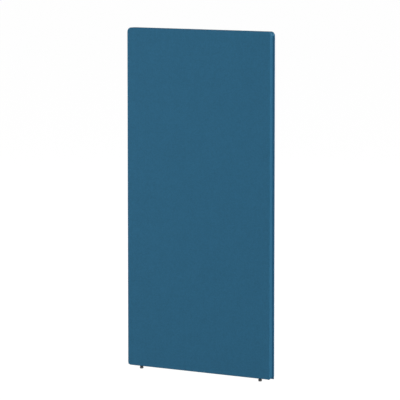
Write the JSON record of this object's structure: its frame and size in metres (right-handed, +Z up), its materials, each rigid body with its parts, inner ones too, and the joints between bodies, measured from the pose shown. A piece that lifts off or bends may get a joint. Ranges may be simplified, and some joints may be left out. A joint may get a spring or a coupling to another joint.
{
  "type": "office floor screen",
  "caption": "Free-standing upright office screen: slim padded panel covered in blue fabric with rounded edges, linking zip halves on its sides and small black screw feet.",
  "frame": {"origin": "on the floor, under the middle of the panel, midway between its faces", "axes": "+Z up, +X along the width towards the side with the zip pin, -Y out of the front face"},
  "size_m": [0.8195, 0.04, 1.616],
  "materials": {
    "cover_fabric": "matte",
    "zip_tape": "matte",
    "zip_teeth": "satin",
    "slider_metal": "satin",
    "wadding": "matte",
    "mineral_wool": "matte",
    "timber": "matte",
    "beech": "matte",
    "staple_wire": "satin",
    "zinc_steel": "satin",
    "foot_plastic": "satin"
  },
  "bodies": {
    "panel": {"left_stile": "timber", "right_stile": "timber", "bottom_rail": "timber", "lower_cross_rail": "timber", "upper_cross_rail": "timber", "top_rail": "timber", "frame_dowels": "beech", "lower_core_slab": "mineral_wool", "middle_core_slab": "mineral_wool", "upper_core_slab": "mineral_wool", "front_wadding": "wadding", "rear_wadding": "wadding", "front_cover": "cover_fabric", "rear_cover": "cover_fabric", "closing_strip": "cover_fabric", "cover_staples": "staple_wire", "strip_pins": "staple_wire", "left_zip_tape": "zip_tape", "right_zip_tape": "zip_tape", "left_zip_teeth": "zip_teeth", "right_zip_teeth": "zip_teeth", "left_zip_top_stop": "zip_teeth", "right_zip_top_stop": "zip_teeth", "left_zip_box": "zip_teeth", "right_zip_pin": "zip_teeth", "left_foot_insert": "zinc_steel", "right_foot_insert": "zinc_steel"},
    "left_foot_washer": {"left_foot_washer": "foot_plastic"},
    "left_foot": {"left_foot_base": "foot_plastic", "left_foot_stud": "zinc_steel"},
    "right_foot_washer": {"right_foot_washer": "foot_plastic"},
    "right_foot": {"right_foot_base": "foot_plastic", "right_foot_stud": "zinc_steel"},
    "zip_slider": {"zip_slider": "slider_metal"},
    "zip_pull": {"zip_pull": "slider_metal"}
  },
  "joints": [
    {"name": "left_foot_height", "type": "slide", "parent": "panel", "child": "left_foot_washer", "axis": [0, 0, -1], "range_m": [0, 0.015]},
    {"name": "left_foot_turn", "type": "hinge", "parent": "left_foot_washer", "child": "left_foot", "pos_m": [-0.334, 0, 0], "axis": [0, 0, -1], "range_deg": [0, 4320]},
    {"name": "right_foot_height", "type": "slide", "parent": "panel", "child": "right_foot_washer", "axis": [0, 0, -1], "range_m": [0, 0.015]},
    {"name": "right_foot_turn", "type": "hinge", "parent": "right_foot_washer", "child": "right_foot", "pos_m": [0.334, 0, 0], "axis": [0, 0, -1], "range_deg": [0, 4320]},
    {"name": "zip_slide", "type": "slide", "parent": "panel", "child": "zip_slider", "axis": [0, 0, 1], "range_m": [0, 1.5532]},
    {"name": "pull_swing", "type": "hinge", "parent": "zip_slider", "child": "zip_pull", "pos_m": [-0.40535, 0.00405, 0.03375], "axis": [1, 0, 0], "range_deg": [0, 170]}
  ],
  "couplings": [
    {"joint": "left_foot_height", "follows": "left_foot_turn", "m_per_rad": 0.00019894},
    {"joint": "right_foot_height", "follows": "right_foot_turn", "m_per_rad": 0.00019894}
  ]
}
